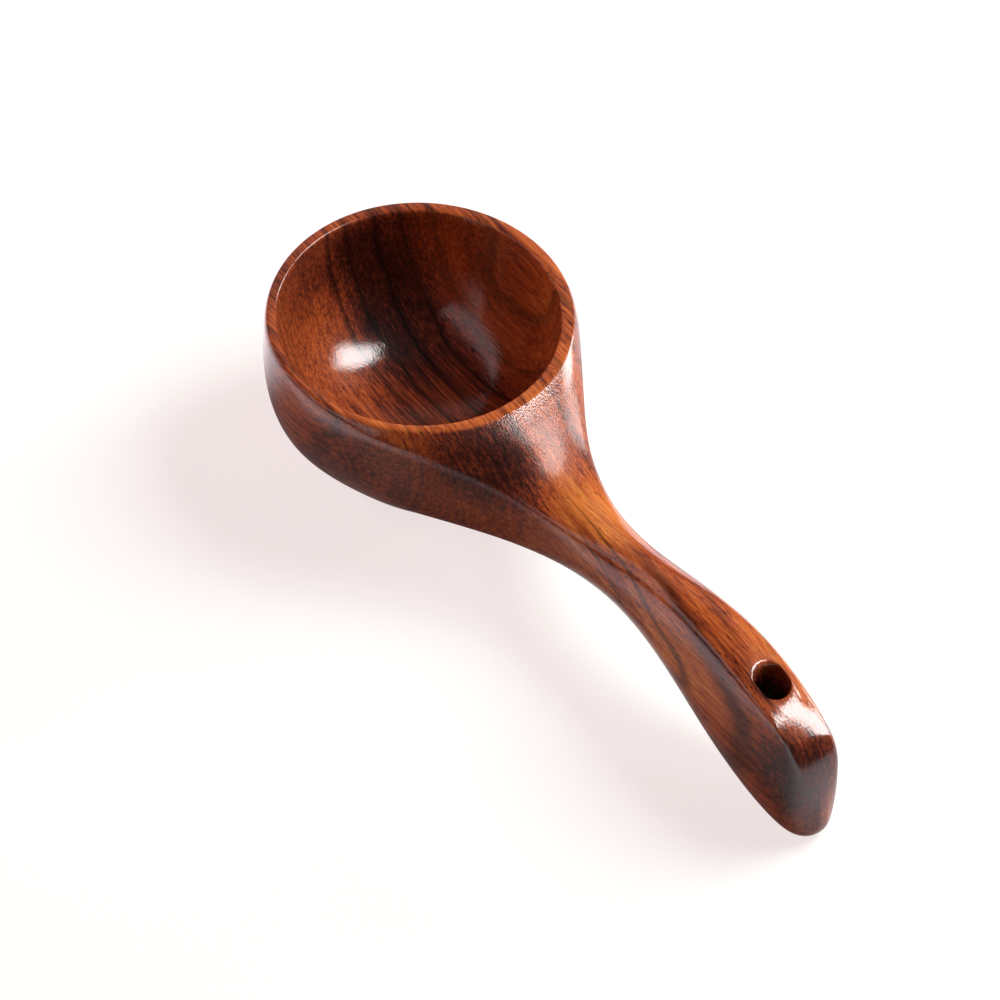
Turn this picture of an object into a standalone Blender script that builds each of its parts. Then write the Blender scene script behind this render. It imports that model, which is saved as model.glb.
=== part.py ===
"""One-piece carved wooden ladle.

A round bowl on a small flat foot, a shoulder that sinks from the rim into a narrow neck, and a deep
arched handle that comes down to a tip on the table. A hanging hole runs through the handle's end.
Sizes are in millimetres here and become metres in the mesh. +X runs from the bowl to the handle's tip,
+Z is up, and the foot and the tip both stand on z = 0.
"""

import math
from collections import namedtuple

import bpy

MM = 0.001

LENGTH = 220.0  # back of the bowl to the handle's tip
BACK = 43.2  # bowl axis to the back of the bowl
REACH = LENGTH - BACK  # bowl axis to the tip
BOWL_AXIS_X = BACK - LENGTH / 2.0  # puts the middle of the whole length at x = 0

# Bowl. Radii are measured from the bowl's own axis.
HEIGHT = 50.0  # table to rim
RIM_R = 42.5  # an 85 mm bowl
FOOT_R = 15.0  # flat disc the bowl stands on
EDGE = 0.7  # easing of the rim's edges and of the hole's
Ring = namedtuple("Ring", "r z")
WALL_CREST = Ring(43.0, 47.0)  # keeps the rim's outer edge crisp
WALL_BELLY = Ring(43.4, 36.0)  # the wall swells a little below the rim
WALL_WAIST = Ring(42.0, 19.5)
WALL_TURN = Ring(33.8, 8.2)  # and rounds under to the foot
WALL_BASE = Ring(24.0, 1.5)

# Hollow.
MOUTH_R = 38.7
HOLLOW_SHIFT_Y = -0.7  # carved slightly to one side, so the far wall is the thicker one
HOLLOW_WALL = Ring(38.3, 37.0)
HOLLOW_TURN = Ring(33.3, 21.0)
HOLLOW_BED = Ring(21.3, 11.6)
HOLLOW_FLOOR = 8.0  # wood left under the deepest point

# Where the bowl's wall flares into the handle. The shoulder leaves the rim as a ledge whose edge is a
# ridge: it starts at the rim, 67 degrees either side of the handle, and sinks towards the neck. The ledge
# is carved by hand, so its two sides differ. Steps count round the bowl from the handle.
LEDGE = {
    -3: Ring(43.3, 48.2),
    -2: Ring(45.6, 45.4),
    -1: Ring(46.0, 47.9),
    0: Ring(46.4, 48.2),
    1: Ring(46.2, 47.3),
    2: Ring(43.6, 46.5),
    3: Ring(42.9, 48.4),
}
LEDGE_STEP = 0.3  # how far the ledge starts below the rim
FLARE_R = 46.6  # waist radius 45 degrees either side of the handle
FLANK_R = 38.0  # waist radius beside the flare
UNDER_R = 38.0  # waist radius and height right under the handle
UNDER_Z = 13.5
UNDER_STEP_R = 1.0  # and how much each grows one step aside
UNDER_STEP_Z = 0.5

# Handle sections: share of the reach, half-widths at the top edge, the middle and the lower edge, crest
# height, drop from crest to top edge, underside height, rise from underside to lower edge.
Section = namedtuple("Section", "at top mid low crest drop under rise")
SECTIONS = {
    "shoulder": Section(0.291, 17.3, 17.3, 16.7, 45.9, 6.6, 13.2, 2.0),
    "neck_in": Section(0.353, 11.9, 12.5, 11.8, 38.2, 1.3, 14.2, 3.0),
    "neck": Section(0.432, 7.4, 10.0, 8.0, 37.5, 2.7, 16.0, 5.0),
    "neck_out": Section(0.534, 5.4, 9.4, 6.5, 40.7, 3.2, 17.2, 7.0),
    "grip": Section(0.647, 6.0, 10.7, 8.1, 45.6, 2.7, 15.2, 7.0),
    "arch": Section(0.766, 7.7, 12.1, 10.0, 46.0, 1.5, 8.6, 3.4),
    "hole": Section(0.855, 7.7, 12.2, 11.0, 42.2, 1.0, 4.5, 2.5),
    "thumb": Section(0.910, 7.4, 11.6, 10.3, 38.7, 0.5, 1.9, 1.6),
    "brow": Section(0.949, 6.8, 10.0, 9.2, 34.1, 0.5, 0.4, 1.0),
    "tip": Section(0.976, 6.0, 7.6, 6.9, 28.0, 0.9, -0.7, 1.2),
    "end": Section(0.990, 3.4, 3.0, 1.8, 19.0, 0.8, 3.6, 1.8),
}
END_BULGE = 0.4  # the end face is slightly domed
END_RAKE = 2.3  # and leans out towards the table
END_TWIST = 1.6  # where it is carved to the -y side
CROWN = 0.5  # the line halfway out lies at this share of the half-width
CROWN_FALL = 0.2  # and has fallen by this share of the drop
RIDGE_CREASE = 0.316  # the top edges of the handle are crisper than its lower edges
EDGE_CREASE = 0.55  # the brow, the edges of the thumb face and the rim over the ledge are crisper still

# Hanging hole, straight down through the handle.
HOLE_R = 4.5
LIP_DIP = 0.1  # the eased lip starts this far inside the handle's face

# Beyond the hole the top is a small thumb face above a sharp brow, both cut askew: how far the +y side
# of each section lies ahead and below.
ASKEW = {"thumb": (0.5, 1.2), "brow": (1.8, 1.2), "tip": (0.6, -0.6)}

STEPS = 16  # cage points round the bowl
HOLE_STEPS = 8
FINE = 2  # subdivision of the cage


def swell(steps):
    """How far outside a circle a cage ring lies so that its smooth surface runs through the circle."""
    return 3.0 / (2.0 + math.cos(2.0 * math.pi / steps))


class Cage:
    def __init__(self):
        self.points = []
        self.faces = []
        self.creases = {}

    def point(self, x, y, z):
        self.points.append((x, y, z))
        return len(self.points) - 1

    def face(self, *corners):
        self.faces.append(corners)

    def crease(self, a, b, weight):
        self.creases[min(a, b), max(a, b)] = weight

    def ring(self, r, z, shift_y=0.0, changed=None):
        """A level ring about the bowl axis. changed maps a step to its own (r, z)."""
        made = []
        for i in range(STEPS):
            own_r, own_z = (changed or {}).get(i, (r, z))
            turn = 2.0 * math.pi * i / STEPS
            reach = own_r * swell(STEPS)
            made.append(self.point(reach * math.cos(turn), reach * math.sin(turn) + shift_y, own_z))
        return made

    def band(self, low, high, skip=()):
        """Faces between two rings, facing outward when low lies under high on the outside."""
        for i in range(STEPS):
            if i not in skip:
                j = (i + 1) % STEPS
                self.face(low[i], low[j], high[j], high[i])

    def disc(self, ring, r, z_at, shift_y, up):
        """Fills a ring with a 4 by 4 grid of faces."""
        grid = {}
        for i, corner in enumerate(ring):
            side, k = divmod((i + 2) % STEPS, 4)
            grid[[(2, k - 2), (2 - k, 2), (-2, 2 - k), (k - 2, -2)][side]] = corner
        for a in (-1, 0, 1):
            for b in (-1, 0, 1):
                u = a / 2.0
                v = b / 2.0
                x = u * math.sqrt(1.0 - v * v / 2.0) * r * swell(STEPS)
                y = v * math.sqrt(1.0 - u * u / 2.0) * r * swell(STEPS)
                grid[a, b] = self.point(x, y + shift_y, z_at(math.hypot(x, y)))
        for a in range(-2, 2):
            for b in range(-2, 2):
                quad = (grid[a, b], grid[a + 1, b], grid[a + 1, b + 1], grid[a, b + 1])
                self.face(*(quad if up else quad[::-1]))


def add_hollow(cage):
    bed = cage.ring(HOLLOW_BED.r, HOLLOW_BED.z, HOLLOW_SHIFT_Y)

    def floor_at(r):
        share = r / (HOLLOW_BED.r * swell(STEPS))
        return HOLLOW_FLOOR + (HOLLOW_BED.z - HOLLOW_FLOOR) * share * share

    cage.disc(bed, HOLLOW_BED.r, floor_at, HOLLOW_SHIFT_Y, up=True)
    turn = cage.ring(HOLLOW_TURN.r, HOLLOW_TURN.z, HOLLOW_SHIFT_Y)
    wall = cage.ring(HOLLOW_WALL.r, HOLLOW_WALL.z, HOLLOW_SHIFT_Y)
    mouth = cage.ring(MOUTH_R, HEIGHT - EDGE, HOLLOW_SHIFT_Y)
    inner = cage.ring(MOUTH_R + EDGE, HEIGHT, HOLLOW_SHIFT_Y)
    outer = cage.ring(RIM_R - EDGE, HEIGHT)
    for high, low in ((turn, bed), (wall, turn), (mouth, wall), (inner, mouth), (outer, inner)):
        cage.band(high, low)
    return outer


def add_wall(cage, rim_inner):
    """The outside of the bowl, left open where the handle grows out of it."""
    gate = (STEPS - 2, STEPS - 1, 0, 1)
    over_ledge = {step % STEPS: (RIM_R, HEIGHT - LEDGE_STEP) for step in (-1, 0, 1)}
    rim = cage.ring(RIM_R, HEIGHT - EDGE, changed=over_ledge)
    ledge = {step % STEPS: ring for step, ring in LEDGE.items()}
    crest = cage.ring(WALL_CREST.r, WALL_CREST.z, changed=ledge)
    belly = cage.ring(WALL_BELLY.r, WALL_BELLY.z)
    beside = (UNDER_R + UNDER_STEP_R, UNDER_Z + UNDER_STEP_Z)
    flare = (FLARE_R, WALL_WAIST.z)
    flank = (FLANK_R, WALL_WAIST.z)
    changed = {0: (UNDER_R, UNDER_Z), 1: beside, -1 % STEPS: beside}
    changed.update({2: flare, -2 % STEPS: flare, 3: flank, -3 % STEPS: flank})
    waist = cage.ring(WALL_WAIST.r, WALL_WAIST.z, changed=changed)
    turn = cage.ring(WALL_TURN.r, WALL_TURN.z)
    base = cage.ring(WALL_BASE.r, WALL_BASE.z)
    foot = cage.ring(FOOT_R, 0.0)
    cage.band(rim, rim_inner)
    cage.band(crest, rim)
    cage.band(belly, crest, skip=gate)
    cage.band(waist, belly, skip=gate)
    cage.band(turn, waist)
    cage.band(base, turn)
    cage.band(foot, base)
    cage.disc(foot, FOOT_R, lambda r: 0.0, 0.0, up=False)
    for i in range(STEPS):
        cage.crease(foot[i], foot[(i + 1) % STEPS], 1.0)
    for i in (2, -3):
        cage.crease(crest[i], crest[i + 1], RIDGE_CREASE)
    for i in gate:
        cage.crease(rim[i], rim[(i + 1) % STEPS], EDGE_CREASE)
    gate_row = {("T", j): crest[j] for j in range(-2, 3)}
    gate_row.update({("B", j): waist[j] for j in range(-2, 3)})
    gate_row.update({("M", j): belly[j] for j in (-2, 2)})
    return gate_row


def section_row(cage, name):
    s = SECTIONS[name]
    x = s.at * REACH
    row = {}
    top_z = s.crest - s.drop
    low_z = s.under + s.rise
    ahead, fall = ASKEW.get(name, (0.0, 0.0))
    rake, twist = (END_RAKE, END_TWIST) if name == "end" else (0.0, 0.0)
    for side in (-1, 1):
        row["T", 2 * side] = cage.point(x + side * ahead, side * s.top, top_z - side * fall)
        near_x = x + side * CROWN * ahead
        near_z = s.crest - CROWN_FALL * s.drop - side * CROWN * fall
        row["T", side] = cage.point(near_x, side * CROWN * s.top, near_z)
        row["M", 2 * side] = cage.point(x, side * s.mid, (top_z + low_z) / 2.0)
        row["B", 2 * side] = cage.point(x + rake, side * s.low - twist, low_z)
        row["B", side] = cage.point(x + rake, side * CROWN * s.low - twist, s.under + CROWN_FALL * s.rise)
    if name != "hole":
        row["T", 0] = cage.point(x, 0.0, s.crest)
        row["B", 0] = cage.point(x + rake, -twist, s.under)
    return row


def add_hole(cage, before, at, after):
    """Turns the two open patches round the hole into eased mouths and joins them by the bore."""
    here = SECTIONS["hole"]
    mouths = []
    for side, up, z in (("T", 1, here.crest), ("B", -1, here.under)):
        patch = [before[side, 0], before[side, 1], at[side, 1], after[side, 1]]
        patch += [after[side, 0], after[side, -1], at[side, -1], before[side, -1]]
        first = cage.points[before[side, 0]]
        last = cage.points[after[side, 0]]
        slope = (last[2] - first[2]) / (last[0] - first[0])

        def mouth(r, depth):
            made = []
            for q in range(HOLE_STEPS):
                turn = math.pi - 2.0 * math.pi * q / HOLE_STEPS
                dx = r * swell(HOLE_STEPS) * math.cos(turn)
                dy = r * swell(HOLE_STEPS) * math.sin(turn)
                made.append(cage.point(here.at * REACH + dx, dy, z + slope * dx - up * depth))
            return made

        lip = mouth(HOLE_R + EDGE, LIP_DIP)
        bore = mouth(HOLE_R, LIP_DIP + EDGE)
        for outer, inner in ((patch, lip), (lip, bore)):
            for q in range(HOLE_STEPS):
                n = (q + 1) % HOLE_STEPS
                quad = (inner[q], inner[n], outer[n], outer[q])
                cage.face(*(quad if up > 0 else quad[::-1]))
        mouths.append(bore)
    top, bottom = mouths
    for q in range(HOLE_STEPS):
        n = (q + 1) % HOLE_STEPS
        cage.face(bottom[q], bottom[n], top[n], top[q])


def add_handle(cage, gate_row):
    names = list(SECTIONS)
    rows = [gate_row] + [section_row(cage, name) for name in names]
    hole = names.index("hole") + 1
    for k in range(len(rows) - 1):
        a = rows[k]
        b = rows[k + 1]
        for j in range(-2, 2):
            if k in (hole - 1, hole) and j in (-1, 0):
                continue
            cage.face(a["T", j], b["T", j], b["T", j + 1], a["T", j + 1])
            cage.face(a["B", j], a["B", j + 1], b["B", j + 1], b["B", j])
        cage.face(a["T", 2], b["T", 2], b["M", 2], a["M", 2])
        cage.face(a["M", 2], b["M", 2], b["B", 2], a["B", 2])
        cage.face(a["T", -2], a["M", -2], b["M", -2], b["T", -2])
        cage.face(a["M", -2], a["B", -2], b["B", -2], b["M", -2])
        for j in (-2, 2):
            cage.crease(a["T", j], b["T", j], RIDGE_CREASE)
    thumb = rows[hole + 1]
    brow = rows[hole + 2]
    for a, b in ((rows[hole], thumb), (brow, rows[hole + 3])):
        cage.crease(a["T", -2], b["T", -2], (RIDGE_CREASE + EDGE_CREASE) / 2.0)
    cage.crease(thumb["T", -2], brow["T", -2], EDGE_CREASE)
    for j in range(-2, 2):
        cage.crease(brow["T", j], brow["T", j + 1], EDGE_CREASE)
    add_hole(cage, rows[hole - 1], rows[hole], rows[hole + 1])
    end = rows[-1]
    for j in (-1, 0, 1):
        top = cage.points[end["T", j]]
        low = cage.points[end["B", j]]
        end["M", j] = cage.point(*(END_BULGE * (k == 0) + (top[k] + low[k]) / 2.0 for k in range(3)))
    for j in range(-2, 2):
        cage.face(end["T", j], end["M", j], end["M", j + 1], end["T", j + 1])
        cage.face(end["M", j], end["B", j], end["B", j + 1], end["M", j + 1])


def wood():
    material = bpy.data.materials.new("varnished_hardwood")
    material.use_nodes = True
    shader = material.node_tree.nodes["Principled BSDF"]
    shader.inputs["Base Color"].default_value = (0.13, 0.035, 0.012, 1.0)
    shader.inputs["Roughness"].default_value = 0.2
    return material


def make_ladle(collection):
    cage = Cage()
    rim_inner = add_hollow(cage)
    add_handle(cage, add_wall(cage, rim_inner))
    mesh = bpy.data.meshes.new("ladle")
    points = [((x + BOWL_AXIS_X) * MM, y * MM, z * MM) for x, y, z in cage.points]
    mesh.from_pydata(points, [], cage.faces)
    crease = mesh.attributes.new("crease_edge", "FLOAT", "EDGE")
    for edge in mesh.edges:
        a, b = edge.vertices
        crease.data[edge.index].value = cage.creases.get((min(a, b), max(a, b)), 0.0)
    mesh.shade_smooth()
    mesh.materials.append(wood())
    ladle = bpy.data.objects.new("ladle", mesh)
    collection.objects.link(ladle)
    smooth = ladle.modifiers.new("carve_smooth", "SUBSURF")
    smooth.levels = FINE
    smooth.render_levels = FINE
    return ladle


for old in list(bpy.data.objects):
    bpy.data.objects.remove(old, do_unlink=True)
carved = bpy.data.collections.new("carved_ladle")
bpy.context.scene.collection.children.link(carved)
make_ladle(carved)
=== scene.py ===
"""A ladle carved from one piece of dark red-brown hardwood and varnished, on a white table.

The ladle's surface is the smooth limit of the same cage that the solid model has, cut finer. The wood is a
solid material: growth layers, fibres and pores run through the block along +X, so each face shows them as a
gouge would.
"""

import math
from collections import namedtuple

import bpy
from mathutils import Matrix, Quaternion, Vector


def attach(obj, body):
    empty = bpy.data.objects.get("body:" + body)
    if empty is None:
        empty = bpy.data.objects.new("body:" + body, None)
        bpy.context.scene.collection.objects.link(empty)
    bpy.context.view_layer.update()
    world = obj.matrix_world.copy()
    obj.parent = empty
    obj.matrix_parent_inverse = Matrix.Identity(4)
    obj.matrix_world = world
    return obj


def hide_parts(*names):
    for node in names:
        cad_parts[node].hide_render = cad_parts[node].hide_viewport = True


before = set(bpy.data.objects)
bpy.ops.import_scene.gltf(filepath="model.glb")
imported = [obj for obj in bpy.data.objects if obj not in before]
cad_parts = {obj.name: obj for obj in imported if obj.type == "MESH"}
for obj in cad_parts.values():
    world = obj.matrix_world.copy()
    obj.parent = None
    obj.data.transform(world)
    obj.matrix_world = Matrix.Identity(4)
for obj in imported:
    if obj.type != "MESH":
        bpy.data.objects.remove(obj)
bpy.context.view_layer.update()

MM = 0.001

# ---------------------------------------------------------------- the ladle's shape, in millimetres

LENGTH = 220.0  # back of the bowl to the handle's tip
BACK = 43.2  # bowl axis to the back of the bowl
REACH = LENGTH - BACK  # bowl axis to the tip
BOWL_AXIS_X = BACK - LENGTH / 2.0  # puts the middle of the whole length at x = 0

# Bowl. Radii are measured from the bowl's own axis.
HEIGHT = 50.0  # table to rim
RIM_R = 42.5  # an 85 mm bowl
FOOT_R = 15.0  # flat disc the bowl stands on
EDGE = 0.7  # easing of the rim's edges and of the hole's
Ring = namedtuple("Ring", "r z")
WALL_CREST = Ring(43.0, 47.0)  # keeps the rim's outer edge crisp
WALL_BELLY = Ring(43.4, 36.0)  # the wall swells a little below the rim
WALL_WAIST = Ring(42.0, 19.5)
WALL_TURN = Ring(33.8, 8.2)  # and rounds under to the foot
WALL_BASE = Ring(24.0, 1.5)

# Hollow.
MOUTH_R = 38.7
HOLLOW_SHIFT_Y = -0.7  # carved slightly to one side, so the far wall is the thicker one
HOLLOW_WALL = Ring(38.3, 37.0)
HOLLOW_TURN = Ring(33.3, 21.0)
HOLLOW_BED = Ring(21.3, 11.6)
HOLLOW_FLOOR = 8.0  # the cage's deepest point; the smooth hollow ends 0.6 mm above it

# Where the bowl's wall flares into the handle. The shoulder leaves the rim as a ledge whose edge is a
# ridge: it starts at the rim, 67 degrees either side of the handle, and sinks towards the neck. The ledge
# is carved by hand, so its two sides differ. Steps count round the bowl from the handle.
LEDGE = {
    -3: Ring(43.3, 48.2),
    -2: Ring(45.6, 45.4),
    -1: Ring(46.0, 47.9),
    0: Ring(46.4, 48.2),
    1: Ring(46.2, 47.3),
    2: Ring(43.6, 46.5),
    3: Ring(42.9, 48.4),
}
LEDGE_STEP = 0.3  # how far the ledge starts below the rim
FLARE_R = 46.6  # waist radius 45 degrees either side of the handle
FLANK_R = 38.0  # waist radius beside the flare
UNDER_R = 38.0  # waist radius and height right under the handle
UNDER_Z = 13.5
UNDER_STEP_R = 1.0  # and how much each grows one step aside
UNDER_STEP_Z = 0.5

# Handle sections of the cage, which the smooth surface stays a little inside: share of the reach,
# half-widths at the top edge, the middle and the lower edge, crest height, drop from crest to top edge,
# underside height, rise from underside to lower edge.
Section = namedtuple("Section", "at top mid low crest drop under rise")
SECTIONS = {
    "shoulder": Section(0.291, 17.3, 17.3, 16.7, 45.9, 6.6, 13.2, 2.0),
    "neck_in": Section(0.353, 11.9, 12.5, 11.8, 38.2, 1.3, 14.2, 3.0),
    "neck": Section(0.432, 7.4, 10.0, 8.0, 37.5, 2.7, 16.0, 5.0),
    "neck_out": Section(0.534, 5.4, 9.4, 6.5, 40.7, 3.2, 17.2, 7.0),
    "grip": Section(0.647, 6.0, 10.7, 8.1, 45.6, 2.7, 15.2, 7.0),
    "arch": Section(0.766, 7.7, 12.1, 10.0, 46.0, 1.5, 8.6, 3.4),
    "hole": Section(0.855, 7.7, 12.2, 11.0, 42.2, 1.0, 4.5, 2.5),
    "thumb": Section(0.910, 7.4, 11.6, 10.3, 38.7, 0.5, 1.9, 1.6),
    "brow": Section(0.949, 6.8, 10.0, 9.2, 34.1, 0.5, 0.4, 1.0),
    "tip": Section(0.976, 6.0, 7.6, 6.9, 28.0, 0.9, -0.7, 1.2),
    "end": Section(0.990, 3.4, 3.0, 1.8, 19.0, 0.8, 3.6, 1.8),
}
END_BULGE = 0.4  # the end face is slightly domed
END_RAKE = 2.3  # and leans out towards the table
END_TWIST = 1.6  # where it is carved to the -y side
CROWN = 0.5  # the line halfway out lies at this share of the half-width
CROWN_FALL = 0.2  # and has fallen by this share of the drop
RIDGE_CREASE = 0.316  # the top edges of the handle are crisper than its lower edges
EDGE_CREASE = 0.55  # the brow, the edges of the thumb face and the rim over the ledge are crisper still

# Hanging hole, straight down through the handle.
HOLE_R = 4.5
LIP_DIP = 0.1  # the eased lip starts this far inside the handle's face

# Beyond the hole the top is a small thumb face above a sharp brow, both cut askew: how far the +y side
# of each section lies ahead and below.
ASKEW = {"thumb": (0.5, 1.2), "brow": (1.8, 1.2), "tip": (0.6, -0.6)}

STEPS = 16  # cage points round the bowl
HOLE_STEPS = 8
FINE = 4  # subdivision of the cage


def swell(steps):
    """How far outside a circle a cage ring lies so that its smooth surface runs through the circle."""
    return 3.0 / (2.0 + math.cos(2.0 * math.pi / steps))


class Cage:
    def __init__(self):
        self.points = []
        self.faces = []
        self.creases = {}

    def point(self, x, y, z):
        self.points.append((x, y, z))
        return len(self.points) - 1

    def face(self, *corners):
        self.faces.append(corners)

    def crease(self, a, b, weight):
        self.creases[min(a, b), max(a, b)] = weight

    def ring(self, r, z, shift_y=0.0, changed=None):
        """A level ring about the bowl axis. changed maps a step to its own (r, z)."""
        made = []
        for i in range(STEPS):
            own_r, own_z = (changed or {}).get(i, (r, z))
            turn = 2.0 * math.pi * i / STEPS
            reach = own_r * swell(STEPS)
            made.append(self.point(reach * math.cos(turn), reach * math.sin(turn) + shift_y, own_z))
        return made

    def band(self, low, high, skip=()):
        """Faces between two rings, facing outward when low lies under high on the outside."""
        for i in range(STEPS):
            if i not in skip:
                j = (i + 1) % STEPS
                self.face(low[i], low[j], high[j], high[i])

    def disc(self, ring, r, z_at, shift_y, up):
        """Fills a ring with a 4 by 4 grid of faces."""
        grid = {}
        for i, corner in enumerate(ring):
            side, k = divmod((i + 2) % STEPS, 4)
            grid[[(2, k - 2), (2 - k, 2), (-2, 2 - k), (k - 2, -2)][side]] = corner
        for a in (-1, 0, 1):
            for b in (-1, 0, 1):
                u = a / 2.0
                v = b / 2.0
                x = u * math.sqrt(1.0 - v * v / 2.0) * r * swell(STEPS)
                y = v * math.sqrt(1.0 - u * u / 2.0) * r * swell(STEPS)
                grid[a, b] = self.point(x, y + shift_y, z_at(math.hypot(x, y)))
        for a in range(-2, 2):
            for b in range(-2, 2):
                quad = (grid[a, b], grid[a + 1, b], grid[a + 1, b + 1], grid[a, b + 1])
                self.face(*(quad if up else quad[::-1]))


def add_hollow(cage):
    bed = cage.ring(HOLLOW_BED.r, HOLLOW_BED.z, HOLLOW_SHIFT_Y)

    def floor_at(r):
        share = r / (HOLLOW_BED.r * swell(STEPS))
        return HOLLOW_FLOOR + (HOLLOW_BED.z - HOLLOW_FLOOR) * share * share

    cage.disc(bed, HOLLOW_BED.r, floor_at, HOLLOW_SHIFT_Y, up=True)
    turn = cage.ring(HOLLOW_TURN.r, HOLLOW_TURN.z, HOLLOW_SHIFT_Y)
    wall = cage.ring(HOLLOW_WALL.r, HOLLOW_WALL.z, HOLLOW_SHIFT_Y)
    mouth = cage.ring(MOUTH_R, HEIGHT - EDGE, HOLLOW_SHIFT_Y)
    inner = cage.ring(MOUTH_R + EDGE, HEIGHT, HOLLOW_SHIFT_Y)
    outer = cage.ring(RIM_R - EDGE, HEIGHT)
    for high, low in ((turn, bed), (wall, turn), (mouth, wall), (inner, mouth), (outer, inner)):
        cage.band(high, low)
    return outer


def add_wall(cage, rim_inner):
    """The outside of the bowl, left open where the handle grows out of it."""
    gate = (STEPS - 2, STEPS - 1, 0, 1)
    over_ledge = {step % STEPS: (RIM_R, HEIGHT - LEDGE_STEP) for step in (-1, 0, 1)}
    rim = cage.ring(RIM_R, HEIGHT - EDGE, changed=over_ledge)
    ledge = {step % STEPS: ring for step, ring in LEDGE.items()}
    crest = cage.ring(WALL_CREST.r, WALL_CREST.z, changed=ledge)
    belly = cage.ring(WALL_BELLY.r, WALL_BELLY.z)
    beside = (UNDER_R + UNDER_STEP_R, UNDER_Z + UNDER_STEP_Z)
    flare = (FLARE_R, WALL_WAIST.z)
    flank = (FLANK_R, WALL_WAIST.z)
    changed = {0: (UNDER_R, UNDER_Z), 1: beside, -1 % STEPS: beside}
    changed.update({2: flare, -2 % STEPS: flare, 3: flank, -3 % STEPS: flank})
    waist = cage.ring(WALL_WAIST.r, WALL_WAIST.z, changed=changed)
    turn = cage.ring(WALL_TURN.r, WALL_TURN.z)
    base = cage.ring(WALL_BASE.r, WALL_BASE.z)
    foot = cage.ring(FOOT_R, 0.0)
    cage.band(rim, rim_inner)
    cage.band(crest, rim)
    cage.band(belly, crest, skip=gate)
    cage.band(waist, belly, skip=gate)
    cage.band(turn, waist)
    cage.band(base, turn)
    cage.band(foot, base)
    cage.disc(foot, FOOT_R, lambda r: 0.0, 0.0, up=False)
    for i in range(STEPS):
        cage.crease(foot[i], foot[(i + 1) % STEPS], 1.0)
    for i in (2, -3):
        cage.crease(crest[i], crest[i + 1], RIDGE_CREASE)
    for i in gate:
        cage.crease(rim[i], rim[(i + 1) % STEPS], EDGE_CREASE)
    gate_row = {("T", j): crest[j] for j in range(-2, 3)}
    gate_row.update({("B", j): waist[j] for j in range(-2, 3)})
    gate_row.update({("M", j): belly[j] for j in (-2, 2)})
    return gate_row


def section_row(cage, name):
    s = SECTIONS[name]
    x = s.at * REACH
    row = {}
    top_z = s.crest - s.drop
    low_z = s.under + s.rise
    ahead, fall = ASKEW.get(name, (0.0, 0.0))
    rake, twist = (END_RAKE, END_TWIST) if name == "end" else (0.0, 0.0)
    for side in (-1, 1):
        row["T", 2 * side] = cage.point(x + side * ahead, side * s.top, top_z - side * fall)
        near_x = x + side * CROWN * ahead
        near_z = s.crest - CROWN_FALL * s.drop - side * CROWN * fall
        row["T", side] = cage.point(near_x, side * CROWN * s.top, near_z)
        row["M", 2 * side] = cage.point(x, side * s.mid, (top_z + low_z) / 2.0)
        row["B", 2 * side] = cage.point(x + rake, side * s.low - twist, low_z)
        row["B", side] = cage.point(x + rake, side * CROWN * s.low - twist, s.under + CROWN_FALL * s.rise)
    if name != "hole":
        row["T", 0] = cage.point(x, 0.0, s.crest)
        row["B", 0] = cage.point(x + rake, -twist, s.under)
    return row


def add_hole(cage, before, at, after):
    """Turns the two open patches round the hole into eased mouths and joins them by the bore."""
    here = SECTIONS["hole"]
    mouths = []
    for side, up, z in (("T", 1, here.crest), ("B", -1, here.under)):
        patch = [before[side, 0], before[side, 1], at[side, 1], after[side, 1]]
        patch += [after[side, 0], after[side, -1], at[side, -1], before[side, -1]]
        first = cage.points[before[side, 0]]
        last = cage.points[after[side, 0]]
        slope = (last[2] - first[2]) / (last[0] - first[0])

        def mouth(r, depth):
            made = []
            for q in range(HOLE_STEPS):
                turn = math.pi - 2.0 * math.pi * q / HOLE_STEPS
                dx = r * swell(HOLE_STEPS) * math.cos(turn)
                dy = r * swell(HOLE_STEPS) * math.sin(turn)
                made.append(cage.point(here.at * REACH + dx, dy, z + slope * dx - up * depth))
            return made

        lip = mouth(HOLE_R + EDGE, LIP_DIP)
        bore = mouth(HOLE_R, LIP_DIP + EDGE)
        for outer, inner in ((patch, lip), (lip, bore)):
            for q in range(HOLE_STEPS):
                n = (q + 1) % HOLE_STEPS
                quad = (inner[q], inner[n], outer[n], outer[q])
                cage.face(*(quad if up > 0 else quad[::-1]))
        mouths.append(bore)
    top, bottom = mouths
    for q in range(HOLE_STEPS):
        n = (q + 1) % HOLE_STEPS
        cage.face(bottom[q], bottom[n], top[n], top[q])


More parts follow.
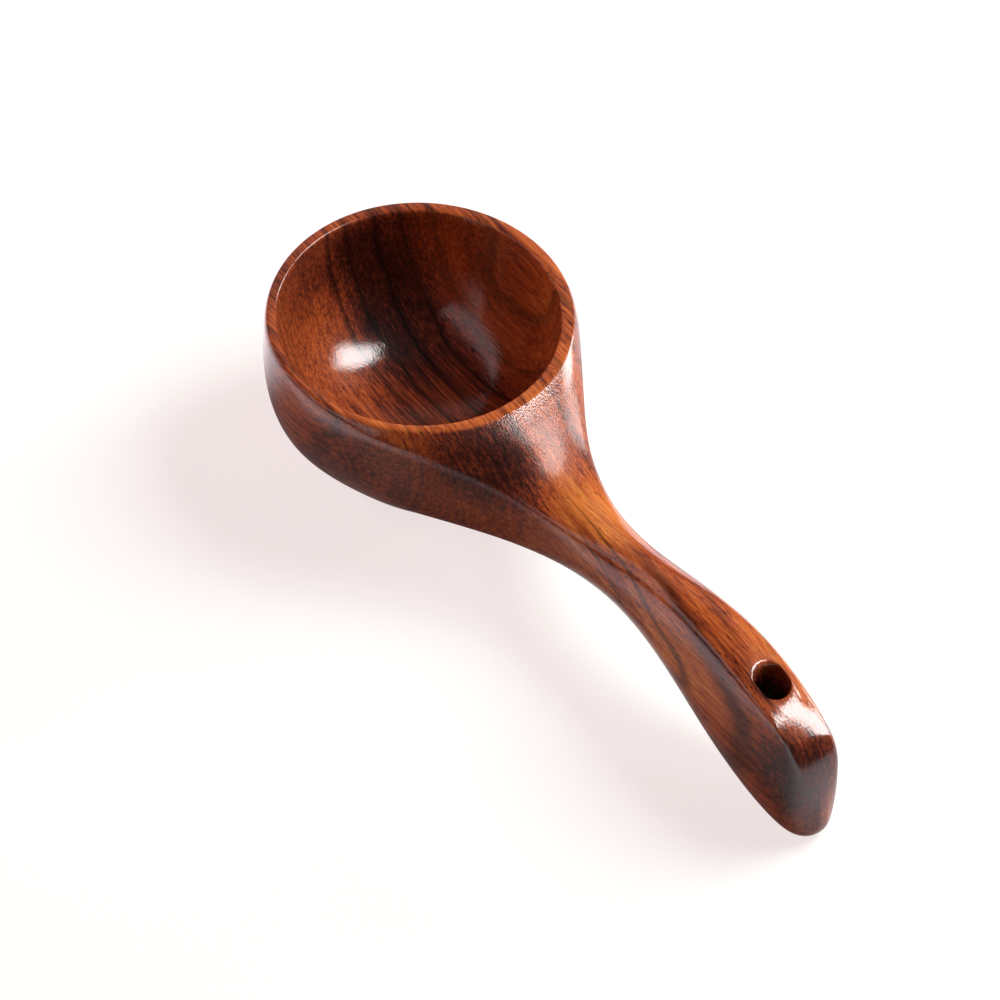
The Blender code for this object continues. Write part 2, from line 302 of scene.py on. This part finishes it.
def add_handle(cage, gate_row):
    names = list(SECTIONS)
    rows = [gate_row] + [section_row(cage, name) for name in names]
    hole = names.index("hole") + 1
    for k in range(len(rows) - 1):
        a = rows[k]
        b = rows[k + 1]
        for j in range(-2, 2):
            if k in (hole - 1, hole) and j in (-1, 0):
                continue
            cage.face(a["T", j], b["T", j], b["T", j + 1], a["T", j + 1])
            cage.face(a["B", j], a["B", j + 1], b["B", j + 1], b["B", j])
        cage.face(a["T", 2], b["T", 2], b["M", 2], a["M", 2])
        cage.face(a["M", 2], b["M", 2], b["B", 2], a["B", 2])
        cage.face(a["T", -2], a["M", -2], b["M", -2], b["T", -2])
        cage.face(a["M", -2], a["B", -2], b["B", -2], b["M", -2])
        for j in (-2, 2):
            cage.crease(a["T", j], b["T", j], RIDGE_CREASE)
    thumb = rows[hole + 1]
    brow = rows[hole + 2]
    for a, b in ((rows[hole], thumb), (brow, rows[hole + 3])):
        cage.crease(a["T", -2], b["T", -2], (RIDGE_CREASE + EDGE_CREASE) / 2.0)
    cage.crease(thumb["T", -2], brow["T", -2], EDGE_CREASE)
    for j in range(-2, 2):
        cage.crease(brow["T", j], brow["T", j + 1], EDGE_CREASE)
    add_hole(cage, rows[hole - 1], rows[hole], rows[hole + 1])
    end = rows[-1]
    for j in (-1, 0, 1):
        top = cage.points[end["T", j]]
        low = cage.points[end["B", j]]
        end["M", j] = cage.point(*(END_BULGE * (k == 0) + (top[k] + low[k]) / 2.0 for k in range(3)))
    for j in range(-2, 2):
        cage.face(end["T", j], end["M", j], end["M", j + 1], end["T", j + 1])
        cage.face(end["M", j], end["B", j], end["B", j + 1], end["M", j + 1])


# ---------------------------------------------------------------- finishes


def shade(hex_colour):
    """A colour given as sRGB hex, in Blender's linear values."""
    parts = [int(hex_colour[i : i + 2], 16) / 255.0 for i in (1, 3, 5)]
    linear = [c / 12.92 if c <= 0.04045 else ((c + 0.055) / 1.055) ** 2.4 for c in parts]
    return (*linear, 1.0)


def add(tree, kind, settings=None, inputs=None):
    """Puts a node in a tree. Settings are its properties or a ramp's stops. Inputs are values or links."""
    node = tree.nodes.new("ShaderNode" + kind)
    for key, value in (settings or {}).items():
        if key == "stops":
            ends = node.color_ramp.elements
            while len(ends) < len(value):
                ends.new(0.5)
            for end, (place, colour) in zip(ends, value):
                end.position = place
                end.color = shade(colour) if isinstance(colour, str) else (colour, colour, colour, 1.0)
        else:
            setattr(node, key, value)
    for key, value in (inputs or {}).items():
        socket = node.inputs[key]
        if isinstance(value, bpy.types.Node):
            value = next(out for out in value.outputs if out.enabled)
        if isinstance(value, bpy.types.NodeSocket):
            tree.links.new(value, socket)
        else:
            socket.default_value = value
    return node


def node_material(name):
    material = bpy.data.materials.new(name)
    material.use_nodes = True
    return material, material.node_tree, material.node_tree.nodes["Principled BSDF"]


# Settings that several nodes share.
TIMES = {"operation": "MULTIPLY"}
TIMES_PLUS = {"operation": "MULTIPLY_ADD"}
MINUS = {"operation": "SUBTRACT"}
SIZE_OF = {"operation": "ABSOLUTE"}
LENGTH_OF = {"operation": "LENGTH"}
SOFT_STEP = {"interpolation_type": "SMOOTHSTEP"}
BLEND = {"data_type": "FLOAT"}
BLEND_COLOURS = {"data_type": "RGBA"}
DARKEN = {"data_type": "RGBA", "blend_type": "MULTIPLY"}

# The wood. All places and widths are in millimetres from the foot's centre, which is on the bowl's axis.
# The block's growth layers stand on edge, so they are told by how far they lie to the +y side. Each dark
# layer has its place, how far it fades out to the -y side, and how dark its crisp edge is, 0 being black.
BLOCK_HALF_WIDTH = 46.0
LAYER_EDGE = 0.6
LAYER_BEND = 0.00075  # per millimetre: the layers bend away to -y along the handle
LAYER_WANDER = 6.0
DARK_LAYERS = [
    (-40.5, 1.6, 0.45),
    (-36.5, 1.0, 0.6),
    (-27.4, 0.9, 0.3),
    (-24.2, 0.9, 0.35),
    (-0.7, 1.6, 0.4),
    (5.7, 1.4, 0.3),
    (13.6, 1.8, 0.1),
    (20.6, 1.8, 0.1),
    (28.0, 1.4, 0.45),
    (35.5, 2.0, 0.35),
]
# The dark layers are strong in the bowl and faint from the shoulder on.
STRONG_TO = 25.0
FAINT_FROM = 48.0
FAINT = 0.35

# Along the handle, dark streaks follow the layers. Each has its layer, half its width, how dark it is, and
# where along the block it begins and is full.
Streak = namedtuple("Streak", "layer half_width dark begin full")
STREAKS = [
    Streak(6.4, 2.2, 0.34, 84.0, 112.0),  # broad, down to the thumb face
    Streak(1.4, 0.6, 0.36, 60.0, 82.0),  # fine, over the near ridge
    Streak(-2.2, 0.4, 0.4, 66.0, 80.0),  # finer, beside it
]

# How far each unevenness of the wood reaches along, across and up, its detail and its roughness. Real
# pores are 0.1 to 0.2 mm across, too fine to show, so they are drawn two to four times as wide.
Grain = namedtuple("Grain", "reach detail roughness")
GRAINS = {
    "wander": Grain((60.0, 22.0, 22.0), 2.0, 0.45),  # of the layers
    "cloud": Grain((40.0, 9.0, 16.0), 2.0, 0.5),
    "fibre": Grain((20.0, 0.7, 1.4), 3.0, 0.7),
    "pore": Grain((3.6, 0.42, 0.42), 1.0, 0.5),
}
RING_WIDTH = 2.6  # of the fine growth rings between the dark layers
RING_DETAIL = 4.0
RING_ROUGHNESS = 0.62

# Soft clouds in the wood: dark heartwood and gold sapwood, and a few that paint shade or light. Each has
# its middle and reach, and how much it lightens (+) or darkens (-) the wood.
Cloud = namedtuple("Cloud", "middle reach tone")
CLOUDS = [
    Cloud((-24.0, 11.0, 28.0), (32.0, 17.0, 32.0), -0.36),  # back of the hollow: darker heartwood, deepened with painted shade
    Cloud((-38.0, -8.0, 42.0), (16.0, 18.0, 18.0), -0.16),  # its left side under the rim: painted shadow of the rim
    Cloud((2.0, 8.0, 8.0), (28.0, 20.0, 16.0), -0.16),  # its floor
    Cloud((12.0, 38.0, 30.0), (30.0, 13.0, 22.0), 0.09),  # its right side: slightly paler wood and painted bounce light
    Cloud((48.0, -14.0, 44.0), (22.0, 15.0, 16.0), -0.3),  # near shoulder
    Cloud((30.0, -40.0, 20.0), (50.0, 16.0, 30.0), -0.1),  # near side of the bowl
    Cloud((78.0, 1.0, 38.0), (20.0, 13.0, 20.0), 0.2),  # neck
    Cloud((112.0, -10.0, 33.0), (36.0, 8.0, 14.0), 0.18),  # near side of the handle: slightly lighter wood and painted fill light
    Cloud((150.0, 6.0, 45.0), (22.0, 9.0, 16.0), 0.1),  # round the hole
    Cloud((151.0, 0.0, 20.0), (8.0, 8.0, 34.0), -0.55),  # painted shade inside the hanging hole, faint round its mouth
    Cloud((168.0, -3.0, 24.0), (15.0, 16.0, 16.0), -0.31),  # tip
]
CLOUD_CORE = 0.35  # shares of a cloud's reach: full inside the core, gone at the end
CLOUD_END = 1.15

# The rim was sanded last. It has none of those clouds, and grows lighter towards the handle.
RIM_RISE = 0.0022  # of tone, per millimetre along the block

# The wood's colours by tone. The tone is a base, the figure, and a share of the rings and of two grains.
BASE_TONE = 0.31
RING_SHARE = 0.42
GRAIN_SHARES = {"cloud": 0.3, "fibre": 0.95}
WOOD_COLOURS = [
    (0.0, "#1c0805"),
    (0.22, "#43180e"),
    (0.38, "#72301b"),
    (0.52, "#9b451e"),
    (0.66, "#b25a29"),
    (0.85, "#cd7735"),
    (1.0, "#e6943f"),
]

# Pores are dark dots where their grain is low. They crowd together where the cloud grain is low as well.
PORE_HEART = -0.19
PORE_EDGE = -0.08
PORE_DARK = 0.35
PORE_CROWDING = 0.35

# The varnish is thin and less smooth on the shoulder: it thins out over the first pair of radii about the
# bowl's axis, and is full again after the second.
THIN_FROM = (RIM_R + 1.0, RIM_R + 5.0)
THIN_TO = (60.0, 75.0)
FULL_COAT = {"Coat Weight": 1.0, "Coat Roughness": 0.1}
THIN_COAT = {"Coat Weight": 0.4, "Coat Roughness": 0.17}

# The relief of the grain, and how much of it shows in the wood and in the varnish that fills it.
GRAIN_RELIEF = 0.15 * MM
FIBRE_RELIEF = 0.4  # against a pore's
RELIEF_SHOWN = {"Normal": 0.35, "Coat Normal": 0.27}


def wood_tone(tree, along, height, block, layer, grains):
    """How light the wood is, from the growth rings, the clouds of heartwood, sapwood and painted shade and
    light, and the fibres.
    """
    rings = add(
        tree,
        "TexNoise",
        {"noise_dimensions": "1D"},
        {"W": layer, "Scale": 1.0 / RING_WIDTH, "Detail": RING_DETAIL, "Roughness": RING_ROUGHNESS},
    )
    figure_and_painted_light = 0.0
    for cloud in CLOUDS:
        inputs = {"Vector": block, "Scale": tuple(1.0 / r for r in cloud.reach)}
        inputs["Location"] = tuple(-m / r for m, r in zip(cloud.middle, cloud.reach))
        off = add(tree, "Mapping", inputs=inputs)
        far = add(tree, "VectorMath", LENGTH_OF, {0: off}).outputs["Value"]
        inputs = {"Value": far, "From Min": CLOUD_CORE, "From Max": CLOUD_END}
        amount = add(tree, "MapRange", SOFT_STEP, {**inputs, "To Min": cloud.tone, "To Max": 0.0})
        figure_and_painted_light = add(tree, "Math", {"operation": "ADD"}, {0: figure_and_painted_light, 1: amount})
    inputs = {"Value": height, "From Min": HEIGHT - EDGE, "From Max": HEIGHT - EDGE / 4.0}
    rim = add(tree, "MapRange", inputs=inputs)
    sanded = add(tree, "Math", TIMES, {0: along, 1: RIM_RISE})
    figure_and_painted_light = add(tree, "Mix", BLEND, {0: rim, 2: figure_and_painted_light, 3: sanded})
    tone = add(tree, "Math", TIMES_PLUS, {0: rings.outputs["Fac"], 1: RING_SHARE, 2: figure_and_painted_light})
    tone = add(tree, "Math", {"operation": "ADD"}, {0: tone, 1: BASE_TONE})
    for name, share in GRAIN_SHARES.items():
        tone = add(tree, "Math", TIMES_PLUS, {0: grains[name], 1: share, 2: tone})
    return tone


def dark_layers(tree, layer):
    """White, with a dark line at each dark layer."""
    inputs = {"Value": layer, "From Min": -BLOCK_HALF_WIDTH, "From Max": BLOCK_HALF_WIDTH}
    place = add(tree, "MapRange", inputs=inputs)
    stops = []
    for edge, fade, dark in DARK_LAYERS:
        for at, grey in ((edge - fade, 1.0), (edge, dark), (edge + LAYER_EDGE, 1.0)):
            stops.append(((at + BLOCK_HALF_WIDTH) / (2.0 * BLOCK_HALF_WIDTH), grey))
    return add(tree, "ValToRGB", {"stops": stops}, {"Fac": place})


def carved_varnished_hardwood():
    """Dark red-brown hardwood, carved, sanded smooth and dipped in clear varnish.

    It looks warm and deep: dark lines and short pores run along the block, with wine-dark and golden
    patches, a few of them painted shade and light, and the varnish lays crisp white highlights over them.
    """
    material, tree, shader = node_material("carved_varnished_hardwood")
    place = add(tree, "TexCoord").outputs["Object"]
    inputs = {"Location": (-BOWL_AXIS_X, 0.0, 0.0), "Scale": (1.0 / MM, 1.0 / MM, 1.0 / MM)}
    block = add(tree, "Mapping", inputs={"Vector": place, **inputs})
    split = add(tree, "SeparateXYZ", inputs={"Vector": block})
    along = split.outputs["X"]
    grains = {}
    for name, grain in GRAINS.items():
        inputs = {"Vector": block, "Scale": tuple(1.0 / r for r in grain.reach)}
        scaled = add(tree, "Mapping", inputs=inputs)
        inputs = {"Vector": scaled, "Scale": 1.0, "Detail": grain.detail, "Roughness": grain.roughness}
        made = add(tree, "TexNoise", inputs=inputs)
        grains[name] = add(tree, "Math", MINUS, {0: made.outputs["Fac"], 1: 0.5})
    bend = add(tree, "Math", TIMES, {0: along, 1: along})
    side = add(tree, "Math", TIMES_PLUS, {0: bend, 1: LAYER_BEND, 2: split.outputs["Y"]})
    layer = add(tree, "Math", TIMES_PLUS, {0: grains["wander"], 1: LAYER_WANDER, 2: side})

    tone = wood_tone(tree, along, split.outputs["Z"], block, layer, grains)
    colour = add(tree, "ValToRGB", {"stops": WOOD_COLOURS}, {"Fac": tone})
    inputs = {"Value": along, "From Min": STRONG_TO, "From Max": FAINT_FROM}
    strength = add(tree, "MapRange", inputs={**inputs, "To Min": 1.0, "To Max": FAINT})
    colour = add(tree, "Mix", DARKEN, {0: strength, 6: colour, 7: dark_layers(tree, layer)})
    for streak in STREAKS:
        off = add(tree, "Math", MINUS, {0: layer, 1: streak.layer})
        off = add(tree, "Math", SIZE_OF, {0: off})
        inputs = {"Value": off, "From Max": streak.half_width, "To Min": streak.dark, "To Max": 1.0}
        grey = add(tree, "MapRange", SOFT_STEP, inputs)
        inputs = {"Value": along, "From Min": streak.begin, "From Max": streak.full}
        begun = add(tree, "MapRange", inputs=inputs)
        colour = add(tree, "Mix", DARKEN, {0: begun, 6: colour, 7: grey})
    crowd = add(tree, "Math", TIMES_PLUS, {0: grains["cloud"], 1: PORE_CROWDING, 2: grains["pore"]})
    inputs = {"Value": crowd, "From Min": PORE_HEART, "From Max": PORE_EDGE}
    pores = add(tree, "MapRange", SOFT_STEP, {**inputs, "To Min": PORE_DARK, "To Max": 1.0})
    colour = add(tree, "Mix", DARKEN, {0: 1.0, 6: colour, 7: pores})
    tree.links.new(colour.outputs[2], shader.inputs["Base Color"])

    # bare wood is matt; the gloss is all in the varnish, whose index is that of a clear resin
    shader.inputs["Roughness"].default_value = 0.5
    shader.inputs["Specular IOR Level"].default_value = 0.1
    shader.inputs["Coat IOR"].default_value = 1.5
    flat = add(tree, "CombineXYZ", inputs={"X": along, "Y": split.outputs["Y"]})
    radius = add(tree, "VectorMath", LENGTH_OF, {0: flat}).outputs["Value"]
    thin = 1.0
    for (near, far), start, end in ((THIN_FROM, 0.0, 1.0), (THIN_TO, 1.0, 0.0)):
        inputs = {"Value": radius, "From Min": near, "From Max": far, "To Min": start, "To Max": end}
        part = add(tree, "MapRange", inputs=inputs)
        thin = add(tree, "Math", TIMES, {0: thin, 1: part})
    for socket, full in FULL_COAT.items():
        level = add(tree, "Math", TIMES_PLUS, {0: thin, 1: THIN_COAT[socket] - full, 2: full})
        shader.inputs[socket].default_value = full
        tree.links.new(level.outputs[0], shader.inputs[socket])
    relief = add(tree, "Math", TIMES_PLUS, {0: grains["fibre"], 1: FIBRE_RELIEF, 2: grains["pore"]})
    for socket, strength in RELIEF_SHOWN.items():
        inputs = {"Strength": strength, "Distance": GRAIN_RELIEF, "Height": relief}
        bump = add(tree, "Bump", inputs=inputs)
        tree.links.new(bump.outputs["Normal"], shader.inputs[socket])
    return material


# The table, in metres. It glows a little, and what the varnish mirrors of it is brighter outside a patch of
# painted shadow round the ladle, which is given by its half-sides.
TABLE_SIZE = 8.0
TABLE_GLOW = 0.03
TABLE_FAR_GLOW = 1.5
PAINTED_SHADOW_PATCH = (0.1, 0.07)
PAINTED_SHADOW_EDGE = 1.35  # the glow is full at this many half-sides
# What the camera sees of it, and what lights the ladle, are a little different whites.
TABLE_WHITES = {
    "Base Color": {"to_ladle": "#aaa9a7", "to_camera": "#8e9d97"},
    "Emission Color": {"to_ladle": "#e6dce6", "to_camera": "#e4d8d8"},
}


def white_laminate():
    """White laminate on a light table: an even white, with faint and slightly pink shadows. The varnish
    mirrors it with a painted shadow round the ladle.
    """
    material, tree, shader = node_material("white_laminate")
    path = add(tree, "LightPath")
    seen = path.outputs["Is Camera Ray"]
    spot = add(tree, "NewGeometry").outputs["Position"]
    # the glow that the varnish mirrors is dimmed in a patch round the ladle: painted shadow of the ladle
    spread = add(tree, "VectorMath", {"operation": "DIVIDE"}, {0: spot, 1: (*PAINTED_SHADOW_PATCH, 1.0)})
    spread = add(tree, "VectorMath", SIZE_OF, {0: spread})
    spread = add(tree, "SeparateXYZ", inputs={"Vector": spread}).outputs
    away = add(tree, "Math", {"operation": "MAXIMUM"}, {0: spread["X"], 1: spread["Y"]})
    inputs = {"Value": away, "From Min": 1.0, "From Max": PAINTED_SHADOW_EDGE}
    far = add(tree, "MapRange", SOFT_STEP, {**inputs, "To Min": TABLE_GLOW, "To Max": TABLE_FAR_GLOW})
    glow = add(tree, "Mix", BLEND, {0: path.outputs["Is Glossy Ray"], 2: TABLE_GLOW, 3: far})
    glow = add(tree, "Mix", BLEND, {0: seen, 2: glow, 3: 1.0})
    tree.links.new(glow.outputs[0], shader.inputs["Emission Strength"])
    for socket, whites in TABLE_WHITES.items():
        inputs = {6: shade(whites["to_ladle"]), 7: shade(whites["to_camera"])}
        white = add(tree, "Mix", BLEND_COLOURS, {0: seen, **inputs})
        tree.links.new(white.outputs[2], shader.inputs[socket])
    shader.inputs["Roughness"].default_value = 0.6
    shader.inputs["Specular IOR Level"].default_value = 0.0
    return material


# ---------------------------------------------------------------- pieces


def carve_ladle():
    cage = Cage()
    rim_inner = add_hollow(cage)
    add_handle(cage, add_wall(cage, rim_inner))
    rough = bpy.data.meshes.new("cage")
    points = [((x + BOWL_AXIS_X) * MM, y * MM, z * MM) for x, y, z in cage.points]
    rough.from_pydata(points, [], cage.faces)
    crease = rough.attributes.new("crease_edge", "FLOAT", "EDGE")
    for edge in rough.edges:
        a, b = edge.vertices
        crease.data[edge.index].value = cage.creases.get((min(a, b), max(a, b)), 0.0)
    rough.shade_smooth()
    ladle = bpy.data.objects.new("carved_ladle", rough)
    bpy.context.scene.collection.objects.link(ladle)
    smooth = ladle.modifiers.new("carve_smooth", "SUBSURF")
    smooth.levels = FINE
    smooth.render_levels = FINE
    evaluated = ladle.evaluated_get(bpy.context.evaluated_depsgraph_get())
    carved = bpy.data.meshes.new_from_object(evaluated)
    carved.name = "carved_ladle"
    ladle.modifiers.clear()
    ladle.data = carved
    bpy.data.meshes.remove(rough)
    carved.materials.append(carved_varnished_hardwood())
    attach(ladle, "root")
    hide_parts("ladle")


def lay_table():
    bpy.ops.mesh.primitive_plane_add(size=TABLE_SIZE)
    table = bpy.context.active_object
    table.name = "table_top"
    table.data.materials.append(white_laminate())


# ---------------------------------------------------------------- light and camera

# Lamps stand round the middle of the ladle: azimuth about +Z from +X, elevation, distance, width, height
# in metres, lean to -azimuth in degrees, and power in watts. Some light only the wood, and some show only
# in the varnish.
Lamp = namedtuple("Lamp", "azimuth elevation distance width height lean watts colour on_wood in_varnish")
LAMPS = {
    "key_softbox": Lamp(54.5, 45.5, 3.0, 0.86, 1.9, 11.0, 103.0, "#ffffff", False, True),
    "main_light": Lamp(76.0, 50.0, 1.0, 0.55, 0.55, 0.0, 13.0, "#ffffff", True, False),
    "low_window": Lamp(78.5, 13.0, 3.0, 0.9, 1.17, 0.0, 53.0, "#ffffff", True, True),
    "back_light": Lamp(-152.0, 12.0, 1.0, 0.5, 0.5, 0.0, 6.4, "#ffe8e8", True, False),
    "near_bounce": Lamp(-100.0, 50.0, 1.0, 0.5, 0.5, 0.0, 1.3, "#ffd4d4", True, False),
    "fill_card": Lamp(-112.0, 31.0, 1.3, 2.1, 0.66, 0.0, 5.4, "#fff4f8", False, True),
    "ceiling_card": Lamp(150.0, 38.0, 1.3, 1.5, 0.6, 0.0, 0.9, "#ffffff", False, True),
}
ROOM_COLOUR = "#c8c4d0"
ROOM_GLOW = 0.04
BACKDROP_COLOUR = "#fffefa"

# The camera has a long lens and looks down across the bowl towards the handle. Its angles are in degrees,
# its distance in metres, and its sensor and lens in millimetres.
VIEW_AZIMUTH = -40.07
VIEW_ELEVATION = 50.09
VIEW_DISTANCE = 1.6363
VIEW_ROLL = 2.52
SENSOR = 36.0
LENS = 212.24
AIM_X = 33.0  # millimetres from the bowl axis, on the table
AIM_Y = 3.54


def bearing(azimuth, elevation):
    """The unit vector towards an azimuth and elevation in degrees."""
    a = math.radians(azimuth)
    e = math.radians(elevation)
    return Vector((math.cos(a) * math.cos(e), math.sin(a) * math.cos(e), math.sin(e)))


def facing(away, roll):
    """The turn that looks back along a direction, upright but for a roll in degrees."""
    return away.to_track_quat("Z", "Y") @ Quaternion((0.0, 0.0, 1.0), math.radians(roll))


def hang_lamps():
    for name, lamp in LAMPS.items():
        light = bpy.data.lights.new(name, "AREA")
        light.shape = "RECTANGLE"
        light.size = lamp.width
        light.size_y = lamp.height
        light.energy = lamp.watts
        light.color = shade(lamp.colour)[:3]
        stand = bpy.data.objects.new(name, light)
        bpy.context.scene.collection.objects.link(stand)
        away = bearing(lamp.azimuth, lamp.elevation)
        stand.location = away * lamp.distance
        stand.rotation_mode = "QUATERNION"
        stand.rotation_quaternion = facing(away, lamp.lean)
        stand.visible_camera = False
        stand.visible_diffuse = lamp.on_wood
        stand.visible_glossy = lamp.in_varnish


def dim_room():
    """A dim grey room that the camera sees as a white backdrop."""
    world = bpy.data.worlds.new("dim_studio")
    world.use_nodes = True
    tree = world.node_tree
    tree.nodes.clear()
    seen = add(tree, "LightPath").outputs["Is Camera Ray"]
    room = add(tree, "Background", inputs={"Color": shade(ROOM_COLOUR), "Strength": ROOM_GLOW})
    backdrop = add(tree, "Background", inputs={"Color": shade(BACKDROP_COLOUR)})
    mixed = add(tree, "MixShader", inputs={0: seen, 1: room, 2: backdrop})
    add(tree, "OutputWorld", inputs={"Surface": mixed})
    bpy.context.scene.world = world
    bpy.context.scene.view_settings.view_transform = "Standard"


def set_camera():
    camera = bpy.data.cameras.new("camera")
    camera.sensor_width = SENSOR
    camera.lens = LENS
    view = bpy.data.objects.new("camera", camera)
    bpy.context.scene.collection.objects.link(view)
    back = bearing(VIEW_AZIMUTH, VIEW_ELEVATION)
    aim = Vector(((AIM_X + BOWL_AXIS_X) * MM, AIM_Y * MM, 0.0))
    view.location = aim + back * VIEW_DISTANCE
    view.rotation_mode = "QUATERNION"
    view.rotation_quaternion = facing(back, VIEW_ROLL)
    bpy.context.scene.camera = view


set_camera()
lay_table()
carve_ladle()
hang_lamps()
dim_room()
